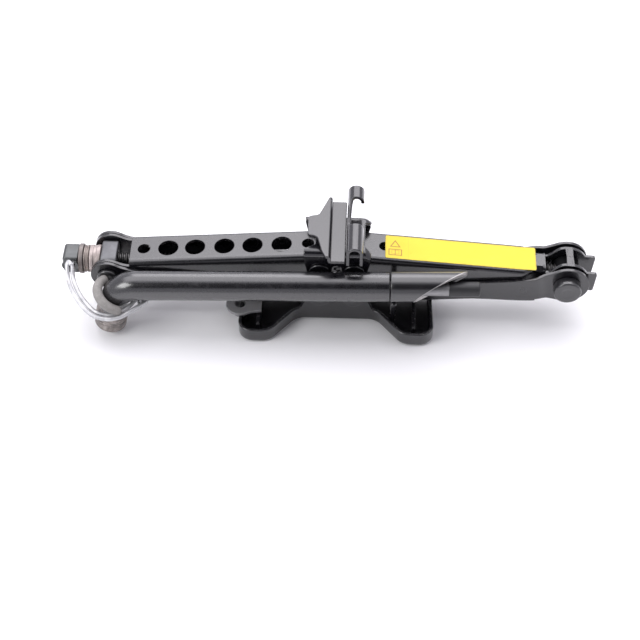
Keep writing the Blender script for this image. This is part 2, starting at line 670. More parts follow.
def arm_piece(name, upper, side, ear_r, half_end, joggle, holes, lug, material, body, stands_for, swell=0.0):
    """One arm: the blank's outline is the flange's edge laid out on both sides of the web."""
    half = (UPPER_HALF if upper else LOWER_HALF) - SHEET / 2
    narrow = half_end - SHEET / 2

    def half_at(u):
        share = np.clip((u - (LINK - joggle[0])) / (joggle[0] - joggle[1]), 0, 1)
        return half + (narrow - half) * share * share * (3 - 2 * share)

    web_end = WEB_END - (7.0 if swell else 0.0)

    def deeper(u):
        share = np.clip((u - 84.0) / (web_end - 84.0), 0, 1)
        return swell * share * share * (3 - 2 * share)

    fold, measure = channel_fold(half_at, WEB_W - SHEET / 2, MID_R, WEB_START - 0.35, web_end + 0.4,
                                 arm_frame(upper, side), deeper)
    phase = math.pi - FOLD + (math.pi / TEETH if side > 0 else 0.0)
    line = flange_edge(ear_r, phase, lug, deeper, web_end)
    dense = filled_in(line, 1.2, closed=False)
    right = np.column_stack([dense[:, 0], measure(dense[:, 0], dense[:, 1])])
    left = right[::-1] * (1, -1)
    bridge_out = filled_in([right[-1], left[0]], 1.2, closed=False)[1:-1]
    bridge_in = filled_in([left[-1], right[0]], 1.2, closed=False)[1:-1]
    outline = np.concatenate([right, bridge_out, left, bridge_in])
    level = half - MID_R
    bend_rows = np.linspace(level, level + MID_R * math.pi / 2, 7)
    flange_rows = spaced(bend_rows[-1] + 2, bend_rows[-1] + 22, 3)
    q_rows = channel_rows(level, bend_rows, flange_rows, 3)
    u_rows = np.concatenate([spaced(-12, 20, 2), spaced(23, LINK - joggle[0] - 3, 3.5),
                             spaced(LINK - joggle[0], LINK + 22, 1.3)])
    points, faces, edge = pressed(outline, [round_hole(u, 0.0, r) for u, r in holes], (u_rows, q_rows), fold,
                                  SHEET, 0.25)
    return new_piece(name, points, faces, material, body, "black_ecoat", stands_for, cut_edge=edge)


arm_paint = black_enamel("arm_black_enamel", (0.0050, 0.0047, 0.0066), 0.24, 1.0, 1.0)
lower_paint = black_enamel("lower_arm_black_enamel", (0.0050, 0.0047, 0.0066), 0.26, 0.8, 1.0)
LARGE_R = 7.7
large = [(along, LARGE_R) for along in (116.4, 95.6, 73.0, 51.3, 28.9)]
arm_piece("lower_left_channel", False, -1, 13.0, LOWER_HALF, (24, 14), [], False, lower_paint, "lower_left",
          "lower_left_arm")
arm_piece("lower_right_channel", False, 1, 16.8, 15.6, (24, 14), [], False, lower_paint, "lower_right",
          "lower_right_arm", swell=4.6)
arm_piece("upper_left_channel", True, -1, 13.0, UPPER_HALF, (36, 24), [(135.3, 4.8), (8.6, 4.6)] + large,
          False, arm_paint, "upper_left", "upper_left_arm")
arm_piece("upper_right_channel", True, 1, 16.8, 10.0, (36, 24), [(22.3, 4.4)], True, arm_paint, "upper_right",
          "upper_right_arm")

# ---- Warning sticker ------------------------------------------------------------------------
# A thin yellow vinyl label stuck along the web of the upper right arm, scuffed and a little
# faded, with a thin printed frame and two plain outline shapes at one end and no lettering.
STICKER_LOW, STICKER_HIGH = (22.5, -12.1), (138.0, 11.5)


def yellow_vinyl():
    shop = Finish("sticker_yellow_vinyl", Specular_IOR_Level=0.5)
    spot = shop.add("UVMap", {"uv_map": "label"})["UV"]
    split = shop.add("SeparateXYZ", Vector=spot)
    u, v = split["X"], split["Y"]

    def frame_line(u0, u1, v0, v1, width):
        across = ((u - (u0 + u1) / 2).size() - (u1 - u0) / 2).most((v - (v0 + v1) / 2).size() - (v1 - v0) / 2)
        return across.size() < width

    roof = (((u - 7.6).size() * 0.866 + (v - 14.6) * 0.5).most(14.2 - v) - 1.9).size() < 0.42
    near_roof = ((u - 7.6).size() < 5.6) * ((v - 15.8).size() < 4.6)
    print_mask = frame_line(2.8, 12.4, 3.6, 9.4, 0.42).most(roof * near_roof)
    print_mask = print_mask.most(frame_line(7.5, 7.7, 3.8, 9.2, 0.18))
    print_mask = print_mask.most(frame_line(5.0, 10.4, 5.0, 8.4, 0.14))
    print_mask = print_mask.most(((u - 17.6).size() < 0.14) * 0.22)
    cloud = shop.noise(45.0, 5.0)
    grain = shop.noise(3000.0, 2.0)
    scuff = shop.steps(shop.noise(210.0, 7.0, 0.78), 0.60, 0.70)
    long, wide = STICKER_HIGH[0] - STICKER_LOW[0], STICKER_HIGH[1] - STICKER_LOW[1]
    border = u.least(long - u).least(v.least(wide - v))
    soiled = shop.steps(shop.noise(160.0, 4.0, 0.7) * 2.6 - border, 0.25, 1.3)
    base = shop.mix(cloud, (0.80, 0.63, 0.016), (0.75, 0.57, 0.013))
    base = shop.mix(scuff * 0.35, base, (0.62, 0.47, 0.03))
    base = shop.mix(soiled * 0.55, base, (0.30, 0.23, 0.04))
    colour = shop.mix(print_mask * 0.80, base, (0.35, 0.12, 0.01))
    rough = 0.42 + cloud * 0.12 + scuff * 0.18
    height = grain * 0.4 + shop.noise(90.0, 3.0) - scuff * 0.2
    return shop.surface(colour, rough, None, None, height, 0.03)


def label_outline():
    (a0, b0), (a1, b1) = STICKER_LOW, STICKER_HIGH
    return filled_in(softened([(a0, b0), (a1, b0), (a1, b1), (a0, b1)], 1.6), 2.0)


put_right = arm_frame(True, 1)


def label_place(flat):
    """The web's face, with a faint lift along the sticker's loose right end."""
    lift = 0.45 * np.clip((flat[:, 0] - 126.0) / 12.0, 0, 1) ** 2
    return put_right(flat[:, 0], flat[:, 1], WEB_W + 0.22 + lift)


label_rows = (spaced(24, 137, 3), spaced(-10, 9, 3))
points, faces, edge = pressed(label_outline(), [], label_rows, label_place, 0.16, 0.06)
label = new_piece("sticker_vinyl", points, faces, yellow_vinyl(), "upper_right", "yellow_sticker",
                  "warning_sticker")
spots = np.array([tuple(vertex.co) for vertex in label.data.vertices]) / MM
start = put_right(np.zeros(1), np.zeros(1), np.zeros(1))[0]
along = put_right(np.ones(1), np.zeros(1), np.zeros(1))[0] - start
corners_uv = np.column_stack([(spots - start) @ along - STICKER_LOW[0], spots[:, 1] - STICKER_LOW[1]])
layer = label.data.uv_layers.new(name="label")
corner_of = np.empty(len(label.data.loops), np.int32)
label.data.loops.foreach_get("vertex_index", corner_of)
layer.data.foreach_set("uv", corners_uv[corner_of].astype(np.float32).ravel())

# ---- Lead screw -----------------------------------------------------------------------------
# A rolled trapezoidal thread of 12 mm steel, dark with old grease, its outer end turned down
# where the thrust parts sit.
AXIS = (0.0, TRUNNION_Z)


def oiled_steel(name, tone, gloss, rust, streak=1.0):
    """Dark or bright bare steel: grease film, turning marks and small blooms of rust."""
    shop = Finish(name, Specular_IOR_Level=0.5)
    cloud = shop.noise(70.0, 5.0)
    grain = shop.noise(1900.0, 3.0, 0.7)
    bloom = shop.steps(shop.noise(190.0, 6.0, 0.72), 0.62 - 0.16 * rust, 0.74 - 0.10 * rust) * rust
    film = shop.steps(shop.noise(110.0, 4.0), 0.45, 0.65)
    metal = shop.mix(cloud, tuple(0.72 * c for c in tone), tuple(1.22 * c for c in tone))
    metal = shop.mix(film * 0.35, metal, tuple(0.45 * c for c in tone))
    colour = shop.mix(bloom, metal, (0.20, 0.085, 0.045))
    colour = shop.mix(bloom * grain, colour, (0.34, 0.17, 0.10))
    rough = gloss + cloud * 0.14 * streak + bloom * 0.35 + grain * 0.06
    return shop.surface(colour, rough, 0.92 - bloom * 0.75, None, grain * 0.5 + bloom * grain * 0.9, 0.03)


def threaded_rod(low, high, pitch, outer, depth, sides, per_turn):
    """The thread: the radius at a turn and a distance is the outer one less the depth times a
    trapezium wave of distance over pitch minus turn over a full turn, faded out at both ends."""
    x = np.arange(low, high, pitch / per_turn)[:, None]
    turn = np.linspace(0, 2 * math.pi, sides, endpoint=False)[None]
    phase = (x / pitch - turn / (2 * math.pi)) % 1.0
    wave = np.clip((np.abs(phase - 0.5) - 0.14) / 0.16, 0, 1)
    fade = np.clip(np.minimum(x - low - 6.0, high - x) / 3.0, 0, 1)
    radius = outer - depth * wave * fade - 0.9 * (1 - np.clip((high - x) / 2.0, 0, 1))
    radius = np.where(x < low + 22.0, np.minimum(radius, outer - 0.35), radius)
    grid = np.stack([np.broadcast_to(x, radius.shape), radius * np.cos(turn),
                     TRUNNION_Z + radius * np.sin(turn)], -1)
    points = grid.reshape(-1, 3)
    poles = (low, 0, TRUNNION_Z), (points[-1, 0], 0, TRUNNION_Z)
    return outward(*with_poles(points, ring_faces(len(x), sides), sides, *poles))


screw_steel = oiled_steel("screw_dark_steel", (0.085, 0.083, 0.083), 0.30, 0.25)
points, faces = threaded_rod(-199.0, 184.0, 3.0, 5.95, 1.25, 36, 8)
new_piece("screw_thread", points, faces, screw_steel, "screw", "dark_steel", "lead_screw", 60.0)

# ---- Drive head -----------------------------------------------------------------------------
# A square forging pressed and pinned on the screw's end, its corners turned off, with a cross
# hole that the wrench's hook drops into.
head_outline = softened([(-211.5, TRUNNION_Z - 8.3), (-199.4, TRUNNION_Z - 8.3), (-199.4, TRUNNION_Z + 8.3),
                         (-211.5, TRUNNION_Z + 8.3)], [2.6, 1.0, 1.0, 2.6])
drive_eye = round_hole(-206.0, TRUNNION_Z, 3.8, 40)
points, faces, edge = pressed(filled_in(head_outline, 1.0), [drive_eye],
                              (spaced(-210, -201, 1.5), spaced(TRUNNION_Z - 7, TRUNNION_Z + 7, 1.5)),
                              lambda flat: np.column_stack([flat[:, 0], np.zeros(len(flat)), flat[:, 1]]),
                              16.6, 1.9)
head_steel = oiled_steel("drive_head_steel", (0.125, 0.130, 0.130), 0.30, 0.12)
new_piece("drive_head_forging", points, faces, head_steel, "screw", "dark_steel", "drive_head", 50.0)

# ---- Thrust stack ---------------------------------------------------------------------------
# A zinc washer, a bearing ring and a turned collar that carry the screw's pull. The zinc has
# gone rusty and coppery with age; the collar has kept a pinkish passivated colour.


def zinc(name, tone, other, gloss, rust):
    """Old zinc plate: two passivation colours in clouds, turning lines, white bloom and rust."""
    shop = Finish(name, Specular_IOR_Level=0.5)
    cloud = shop.noise(120.0, 4.0, 0.6)
    grain = shop.noise(2400.0, 3.0, 0.7)
    spread = shop.steps(shop.noise(260.0, 6.0, 0.72), 0.66 - 0.22 * rust, 0.76 - 0.14 * rust)
    split = shop.add("SeparateXYZ", Vector=shop.place)
    lines = shop.add("TexNoise", {"noise_dimensions": "1D"}, W=split["X"], Scale=2600.0, Detail=2.0)["Fac"]
    base = shop.mix(shop.steps(cloud, 0.38, 0.62), tone, other)
    colour = shop.mix(spread * 0.85, base, (0.21, 0.095, 0.055))
    colour = shop.mix(spread * grain, colour, (0.36, 0.20, 0.13))
    rough = gloss + cloud * 0.18 + spread * 0.30 + lines * 0.08
    height = lines * 0.5 + grain * 0.35 + spread * grain
    return shop.surface(colour, rough, 0.85 - spread * 0.65, None, height, 0.03)


def ring_piece(name, low, high, radius, chamfer, material, slot, stands_for, groove=0.0):
    """A ring on the screw: bore, face, chamfer and rim as one closed profile turned about it."""
    bore = 6.3
    line = [(low, bore), (low, radius), (high, radius), (high, bore)]
    radii = [0.3, chamfer, chamfer, 0.3]
    if groove:
        mid = (low + high) / 2
        line = [(low, bore), (low, radius), (mid - groove, radius), (mid - groove * 0.6, radius - 0.5),
                (mid + groove * 0.6, radius - 0.5), (mid + groove, radius), (high, radius), (high, bore)]
        radii = [0.3, chamfer, 0.3, 0.3, 0.3, 0.3, chamfer, 0.3]
    points, faces = turned(softened(line, radii, 0.3), AXIS, "X", 72, closed=True)
    return new_piece(name, points, faces, material, "screw", slot, stands_for)


rusty = zinc("washer_rusty_zinc", (0.24, 0.215, 0.205), (0.15, 0.128, 0.118), 0.38, 0.3)
copper = zinc("ring_coppery_zinc", (0.30, 0.26, 0.24), (0.18, 0.15, 0.135), 0.34, 0.25)
pink = zinc("collar_pink_zinc", (0.50, 0.44, 0.42), (0.36, 0.31, 0.295), 0.40, 0.12)
ring_piece("washer_turned", -199.1, -195.6, 11.6, 0.7, rusty, "rusty_zinc", "washer_outer")
ring_piece("bearing_ring_turned", -195.3, -191.2, 10.6, 1.5, copper, "rusty_zinc", "thrust_ring", 0.8)
ring_piece("collar_turned", -190.9, -182.2, 10.9, 0.9, pink, "pink_zinc", "thrust_collar", 1.6)

# ---- Thrust block ---------------------------------------------------------------------------
# A forged block between the upper arm's ears that turns on two stubs, bare and pale grey, with
# riveted stub ends and flat black caps outside the ears.
block_half = UPPER_HALF - SHEET - 0.4
block_line = softened([(-block_half, TRUNNION_Z - 10.0), (block_half, TRUNNION_Z - 10.0),
                       (block_half, TRUNNION_Z + 10.5), (-block_half, TRUNNION_Z + 10.5)], 4.5)
points, faces, edge = pressed(filled_in(block_line, 1.0), [round_hole(0.0, TRUNNION_Z, 6.3, 48)],
                              (spaced(-11, 11, 2), spaced(TRUNNION_Z - 9, TRUNNION_Z + 9, 2)),
                              lambda flat: upright(flat, -TRUNNION_X), 12.4, 1.3)
stub_line = [(-18.2, 0), (-18.2, 4.5), (-17.7, 5.0), (17.7, 5.0), (18.2, 4.5), (18.2, 0)]
stub_points, stub_faces = turned(stub_line, (-TRUNNION_X, TRUNNION_Z))
faces = faces + [[i + len(points) for i in face] for face in stub_faces]
points = np.concatenate([points, stub_points])
block_steel = oiled_steel("thrust_block_grey_steel", (0.17, 0.172, 0.18), 0.40, 0.05)
new_piece("thrust_block_forging", points, faces, block_steel, "thrust_block", "dark_steel", "thrust_trunnion")


def cap_profile(inner, outer, radius):
    """A flat cap: plain back, round rim, and a face dished a little towards its middle."""
    out = 1 if outer > inner else -1
    dished = outer - 0.3 * out
    line = [(inner, 0), (inner, radius), (outer, radius), (outer, radius * 0.55), (dished, radius * 0.35),
            (dished, 0)]
    return softened(line, [0, 0.3, 1.3, 2, 2, 0], 0.35, closed=False)


cap_paint = black_enamel("cap_black_enamel", (0.012, 0.012, 0.014), 0.26, 0.8, 1.2)
for name, x, inner, outer, radius, body in (
        ("thrust_cap_front", -TRUNNION_X, -18.5, -21.4, 8.0, "thrust_block"),
        ("thrust_cap_back", -TRUNNION_X, 18.5, 21.4, 8.0, "thrust_block"),
        ("nut_cap_front", TRUNNION_X, -16.1, -23.6, 10.5, "nut"),
        ("nut_cap_back", TRUNNION_X, 16.1, 19.4, 10.0, "nut")):
    points, faces = turned(cap_profile(inner, outer, radius), (x, TRUNNION_Z))
    new_piece(name + "_turned", points, faces, cap_paint, body, "pin_black", name,
              cut_edge=np.zeros(len(points)))

# ---- Nut ------------------------------------------------------------------------------------
# A steel barrel across the jack, drilled and threaded through its middle for the screw, its
# two turned ends carried by the ears of the right arms.
nut_line = [(-15.8, 0), (-15.8, 5.0), (-7.0, 5.0), (-7.0, 10.2),
            (7.0, 10.2), (7.0, 5.0), (15.8, 5.0), (15.8, 0)]
points, faces = turned(softened(nut_line, [0, 0.6, 0.1, 0.8, 0.8, 0.1, 0.6, 0], 0.35, closed=False),
                       (TRUNNION_X, TRUNNION_Z))
nut_steel = oiled_steel("nut_dark_steel", (0.010, 0.010, 0.011), 0.55, 0.04)
new_piece("nut_barrel", points, faces, nut_steel, "nut", "dark_steel", "nut_trunnion")

# ---- Load head ------------------------------------------------------------------------------
# A deep-drawn inverted channel over the arms' inner ends, two pins through its ears. Welded on
# its deck are a saddle strip with a low side wall and a high rolled ridge with a notch: the
# seam under the car's sill stands in the groove between them.
DECK_Z, DECK_HALF_X, DECK_HALF = 74.4, 25.0, 20.7
EAR_R = 9.6
deck_r = 3.7
deck_top = DECK_Z - SHEET / 2


def deck_frame(u, y, w):
    """Along, across and up as they are, but the deck's right end curves down."""
    return np.column_stack([u, y, w - 0.10 * np.maximum(u - 18.5, 0) ** 2])


deck_fold, deck_measure = channel_fold(lambda u: np.full(len(u), DECK_HALF - SHEET / 2), deck_top, deck_r,
                                       -99, 99, deck_frame)


def deck_blank():
    """Both ears laid out past the deck: each side's edge runs down, round one pin, level to the
    other, round it and up again."""
    left = np.radians(np.linspace(192, 270, 16))
    right = np.radians(np.linspace(270, 348, 16))
    low_left = np.column_stack([-PIVOT_X + EAR_R * np.cos(left), HEAD_PIN_Z + EAR_R * np.sin(left)])
    low_right = np.column_stack([PIVOT_X + EAR_R * np.cos(right), HEAD_PIN_Z + EAR_R * np.sin(right)])
    gap = [(-4.2, HEAD_PIN_Z - 6.0), (-3.4, 60.5), (3.4, 60.5), (4.2, HEAD_PIN_Z - 6.0)]
    low_left, low_right = low_left[:14], low_right[2:]
    side = np.concatenate([[(-DECK_HALF_X, 67.5)], low_left, gap, low_right, [(DECK_HALF_X, 67.5)]])
    flat = np.column_stack([side[:, 0], deck_measure(side[:, 0], side[:, 1])])
    waist = np.array([(-DECK_HALF_X, -15.5), (-DECK_HALF_X + 8.5, -11.0), (-DECK_HALF_X + 8.5, 11.0),
                      (-DECK_HALF_X, 15.5)])
    far_waist = np.array([(DECK_HALF_X, 15.5), (DECK_HALF_X - 4.5, 12.0), (DECK_HALF_X - 4.5, -12.0),
                          (DECK_HALF_X, -15.5)])
    whole = np.concatenate([flat, far_waist, flat[::-1] * (1, -1), waist])
    radii = [3.0] * len(flat) + [2.5] * 4 + [3.0] * len(flat) + [3.5] * 4
    return filled_in(softened(whole, radii), 1.0)


level = DECK_HALF - SHEET / 2 - deck_r
deck_bend = np.linspace(level, level + deck_r * math.pi / 2, 9)
deck_wall = spaced(deck_bend[-1] + 2, deck_bend[-1] + 30, 2.5)
q_rows = channel_rows(level, deck_bend, deck_wall, 2.5)
points, faces, edge = pressed(deck_blank(), [], (spaced(-24, 24, 2), q_rows), deck_fold, SHEET, 0.6)
head_paint = black_enamel("head_black_enamel", (0.0060, 0.0056, 0.0080), 0.22, 0.5, 0.8)
new_piece("head_channel", points, faces, head_paint, "load_head", "black_ecoat", "load_head_deck",
          cut_edge=edge)

LEFT_WALL_Z, RIDGE_Z = 82.7, 93.4
GROOVE_LOW, GROOVE_HIGH = -4.4, 6.6
saddle_z = DECK_Z + 0.3 + SHEET / 2
wall_x = GROOVE_LOW - SHEET / 2
saddle_line = softened([(GROOVE_HIGH - 0.1, saddle_z), (wall_x, saddle_z), (wall_x, LEFT_WALL_Z - SHEET / 2),
                        (-22.5, LEFT_WALL_Z - SHEET / 2)], [0, 1.6, 1.6, 0], 0.3, closed=False)
saddle_across, saddle_walked = folded(saddle_line)
top_start = saddle_walked[-1] - (-7.3 + 22.5)


def along_groove(flat, across):
    """Flat measures of the saddle and the ridge: along Y, then over the folded section."""
    side = across(flat[:, 1])
    return np.column_stack([side[:, 0], flat[:, 0], side[:, 1]])


def plate_x(x):
    return top_start + (-7.3 - x)


saddle_corners = [(-31.6, 0.2), (31.6, 0.2), (31.6, plate_x(-7.0)), (20.0, plate_x(-11.5)),
                  (12.4, plate_x(-14.6)), (10.4, plate_x(-22.4)), (-9.0, plate_x(-22.4)),
                  (-10.8, plate_x(-15.0)), (-26.0, plate_x(-11.0)), (-31.6, plate_x(-8.4))]
saddle_blank = filled_in(softened(saddle_corners, [0.8, 0.8, 1.5, 5, 3, 3.0, 3.0, 4, 5, 1.5]), 0.9)
saddle_rows = (spaced(-30.5, 30.5, 2.0), np.concatenate([saddle_walked[:-1], spaced(top_start, 48, 2)]))
points, faces, edge = pressed(saddle_blank, [], saddle_rows, lambda flat: along_groove(flat, saddle_across),
                              SHEET, 0.5)
new_piece("saddle_strip", points, faces, head_paint, "load_head", "black_ecoat", "sill_saddle", cut_edge=edge)

crown_r = 6.3 - SHEET / 2
ridge_x, ridge_z = GROOVE_HIGH + 0.4 + 6.3, RIDGE_Z - 6.3
crown = np.radians(np.linspace(180, 0, 25))
crown_line = np.column_stack([ridge_x + crown_r * np.cos(crown), ridge_z + crown_r * np.sin(crown)])
ridge_line = np.concatenate([[(ridge_x - crown_r, DECK_Z + 0.3)], crown_line,
                             [(ridge_x + crown_r, DECK_Z + 0.3)]])
ridge_across, ridge_walked = folded(ridge_line)
total = ridge_walked[-1]
notch_from = ridge_walked[1] + 1.6
crown_end = ridge_walked[-2] + 1.6
ridge_corners = [(-33.8, 0.1), (33.8, 0.1), (33.8, crown_end), (21.0, crown_end), (21.0, notch_from + 3.4),
                 (-6.5, notch_from), (-6.5, total - 0.1), (-33.8, total - 0.1)]
ridge_radii = [1.0, 1.0, 1.0, 1.5, 3.0, 3.0, 1.5, 1.0]
ridge_rows = (spaced(-33, 33, 2.0), np.concatenate([spaced(1.5, 11, 2), ridge_walked[1:-1],
                                                    spaced(total - 11, total - 1.5, 2)]))
points, faces, edge = pressed(filled_in(softened(ridge_corners, ridge_radii), 0.9), [], ridge_rows,
                              lambda flat: along_groove(flat, ridge_across), SHEET, 0.6)
new_piece("ridge_roll", points, faces, head_paint, "load_head", "black_ecoat", "sill_ridge", cut_edge=edge)

for x, name in ((-PIVOT_X, "left"), (PIVOT_X, "right")):
    points, faces = turned(pin_profile(-22.55, 21.0, 23.9, 8.4), (x, HEAD_PIN_Z))
    new_piece("head_pin_turned_" + name, points, faces, pin_paint, "load_head", "pin_black",
              "head_pin_" + name, cut_edge=np.zeros(len(points)))

# ---- Wheel wrench ---------------------------------------------------------------------------
# A 22 mm steel bar bent down at its left end into a leg with a forged hexagon socket, satin
# black all over. At the right a sleeve is pressed on, cut on a slant like a quill, with the
# flat-ended prying rod showing inside it.
LEAN = math.radians(12.0)
TUBE_R, BEND_R, LEG_LENGTH, SOCKET_LENGTH = 11.2, 20.0, 41.5, 19.0
SEAM_X, SLEEVE_R = 40.4, 11.6
to_floor = np.array([-math.sin(LEAN), 0.0, -math.cos(LEAN)])
turn_angle = math.pi - math.acos(float(to_tip.dot(to_floor)))
reach = BEND_R * math.tan(turn_angle / 2)
bisector = (to_tip + to_floor) / np.linalg.norm(to_tip + to_floor)
bend_centre = corner + bisector * (BEND_R / math.cos(turn_angle / 2))


def bend_spoke(share):
    """From the bend's centre to the bar's middle line: the two end spokes mixed by the sines of
    the angles left and gone, over the sine of the whole."""
    first = corner + to_tip * reach - bend_centre
    last = corner + to_floor * reach - bend_centre
    angle = np.asarray(share)[..., None] * turn_angle
    return (first * np.sin(turn_angle - angle) + last * np.sin(angle)) / math.sin(turn_angle)


def swept(path, radii, fixed, sides=32, closed=False):
    """A bar along a path: each ring stands across the path's slope, its first side the cross
    product of the slope with one fixed direction, and radius times cosine and sine round it."""
    path = np.asarray(path, float)
    radii = np.broadcast_to(radii, len(path))
    slope = np.roll(path, -1, 0) - np.roll(path, 1, 0) if closed else np.gradient(path, axis=0)
    slope /= np.linalg.norm(slope, axis=1)[:, None]
    side = np.cross(slope, fixed)
    side /= np.linalg.norm(side, axis=1)[:, None]
    other = np.cross(slope, side)
    turn = np.linspace(0, 2 * math.pi, sides, endpoint=False)[None, :, None]
    spokes = np.cos(turn) * side[:, None] + np.sin(turn) * other[:, None]
    points = (path[:, None] + radii[:, None, None] * spokes).reshape(-1, 3)
    faces = ring_faces(len(path), sides, closed)
    if not closed:
        points, faces = with_poles(points, faces, sides, path[0], path[-1])
    return outward(points, faces)


def rounded_ends(path, radius, soft, count=5):
    """The path and its radii with a quarter-round at each end: points set back by one less the
    sine, radii less one less the cosine, of the same turn."""
    turn = np.linspace(0, math.pi / 2, count + 1)[:-1]
    first, last = path[0], path[-1]
    out_first = (path[0] - path[1]) / np.linalg.norm(path[0] - path[1])
    out_last = (path[-1] - path[-2]) / np.linalg.norm(path[-1] - path[-2])
    head = first - out_first * (soft * (1 - np.cos(turn)))[:, None]
    tail = last - out_last * (soft * (1 - np.cos(turn)))[::-1, None]
    rim = radius - soft + soft * np.sin(turn)
    keep_first = np.linalg.norm(path - first, axis=1) > soft * 1.05
    keep_last = np.linalg.norm(path - last, axis=1) > soft * 1.05
    body = path[keep_first & keep_last]
    mids = np.array([first - out_first * soft, last - out_last * soft])
    line = np.concatenate([head, mids[:1], body, mids[1:], tail])
    sizes = np.concatenate([rim, np.full(len(body) + 2, radius), rim[::-1]])
    return line, sizes


def satin_black(name, tone, gloss, wear, chips=1.0):
    """Thin satin paint on bar stock: soft orange peel, long handling rubs, chips to bare steel."""
    shop = Finish(name, Specular_IOR_Level=0.75, Coat_Roughness=0.20)
    cloud = shop.noise(30.0, 4.0)
    peel = shop.noise(420.0, 2.0, 0.5)
    grit = shop.noise(1600.0, 2.0, 0.7)
    stretched = shop.add("Mapping", Vector=shop.place, Scale=(60.0, 900.0, 900.0))["Vector"]
    rubs = shop.steps(shop.noise(1.0, 4.0, 0.7, stretched), 0.60, 0.74) * wear
    chip = shop.steps(shop.noise(330.0, 5.0, 0.7), 0.755, 0.785) * chips
    dust = shop.steps(shop.noise(150.0, 5.0, 0.65), 0.48, 0.75) * shop.upward().power(2.0)
    paint = shop.mix(cloud, tuple(0.8 * c for c in tone), tuple(1.3 * c for c in tone))
    paint = shop.mix(rubs * 0.25 + dust * 0.20, paint, (0.10, 0.098, 0.105))
    colour = shop.mix(chip, paint, (0.20, 0.17, 0.155))
    rough = gloss + cloud * 0.06 + rubs * 0.06 + dust * 0.10 + chip * 0.12
    height = peel * 0.8 + grit * 0.1 - chip
    return shop.surface(colour, rough, chip * 0.6, 0.9 - chip * 0.8 - dust * 0.3, height, 0.012)


bar_paint = satin_black("wrench_satin_black", (0.0050, 0.0047, 0.0066), 0.24, 0.8)
straight_run = np.array([tube_point(x) for x in np.linspace(SEAM_X, -140.0, 60)])
bend_run = bend_centre + bend_spoke(np.linspace(0.0, 1.0, 26))
leg_steps = np.linspace(reach + 1.0, LEG_LENGTH - SOCKET_LENGTH - 0.3, 4)
leg_run = np.array([corner + to_floor * d for d in leg_steps])
bar_path, bar_radii = rounded_ends(np.concatenate([straight_run, bend_run, leg_run]), TUBE_R, 0.9)
points, faces = swept(bar_path, bar_radii, (0.0, 1.0, 0.0), 56)
new_piece("wrench_bar_bent", points, faces, bar_paint, "wrench", "satin_black", "wrench_bar")

# ---- Wheel socket ---------------------------------------------------------------------------
# The forged end of the leg: a short waist, a round body and a 17 mm hexagon recess broached in
# from below. Its paint is worn through to brown steel in rings where it has been handled.


def worn_socket():
    shop = Finish("socket_worn_steel", Specular_IOR_Level=0.5)
    split = shop.add("SeparateXYZ", Vector=shop.place)
    grain = shop.noise(1700.0, 3.0, 0.7)
    cloud = shop.noise(150.0, 5.0, 0.7)
    rings = shop.add("TexNoise", {"noise_dimensions": "1D"}, W=split["Z"], Scale=900.0, Detail=2.0)["Fac"]
    worn = shop.steps(cloud * 0.6 + rings * 0.5, 0.42, 0.60)
    brown = shop.mix(shop.steps(cloud, 0.4, 0.65), (0.24, 0.205, 0.19), (0.40, 0.365, 0.345))
    colour = shop.mix(worn, (0.085, 0.078, 0.075), brown)
    colour = shop.mix(shop.steps(shop.noise(380.0, 6.0, 0.75), 0.66, 0.76), colour, (0.22, 0.13, 0.09))
    rough = 0.34 + worn * 0.14 + grain * 0.08
    height = rings * 0.6 + grain * 0.3 + cloud * 0.5
    return shop.surface(colour, rough, worn * 0.75, 0.25 - worn * 0.25, height, 0.05)


def socket_surface(start, direction, sides=96):
    """Stations down the outside, over the round lip and up the inside. At each the distance
    from the axis is mixed between a circle and a hexagon: the flat distance over the cosine of
    the angle from the middle of the nearest flat."""
    side = np.cross(direction, (0.0, 1.0, 0.0))
    side /= np.linalg.norm(side)
    other = np.cross(direction, side)
    turn = np.linspace(0, 2 * math.pi, sides, endpoint=False)
    from_flat = np.abs((turn + math.pi / 6) % (math.pi / 3) - math.pi / 6)
    flat_r, outer_r, length = 8.5, 12.3, SOCKET_LENGTH
    hexagon = np.minimum(flat_r / np.cos(from_flat), flat_r * 1.125)
    outside = softened([(0.0, 0.0), (0.0, 10.6), (3.2, 12.0), (5.0, outer_r), (9.4, outer_r),
                        (9.9, outer_r - 0.4), (10.8, outer_r - 0.4), (11.3, outer_r), (length, outer_r),
                        (length, 10.4), (length - 0.9, 9.9)],
                       [0, 0.8, 1.5, 1.5, 0.4, 0.3, 0.3, 0.4, 1.3, 0.5, 0], 0.4, closed=False)
    inside = np.array([(length - 1.0, 1.0), (length - 3.5, 1.0), (8.0, 1.0), (4.5, 1.0), (4.0, 0.97)])

    def ring(d, r):
        return start + direction * d + np.outer(r * np.cos(turn), side) + np.outer(r * np.sin(turn), other)

    grid = [ring(d, r) for d, r in outside[1:]] + [ring(d, hexagon * share) for d, share in inside]
    faces = ring_faces(len(grid), sides)
    return outward(*with_poles(np.concatenate(grid), faces, sides, start, start + direction * 3.0))


points, faces = socket_surface(corner + to_floor * (LEG_LENGTH - SOCKET_LENGTH), to_floor)
new_piece("socket_forging", points, faces, worn_socket(), "wrench", "worn_black", "wrench_socket")

# ---- Pry sleeve and rod ---------------------------------------------------------------------
# The sleeve is pressed over the bar's end against a shoulder. Its open end is cut on a slant;
# the thin cut edge is bare. The rod stands inside it, blunt and matt black.
SLEEVE_TIP_X, SLANT = 98.0, math.radians(47.0)
high_side = np.array([0.0, math.sin(SLANT), math.cos(SLANT)])
near_side = np.array([0.0, -math.cos(SLANT), math.sin(SLANT)])


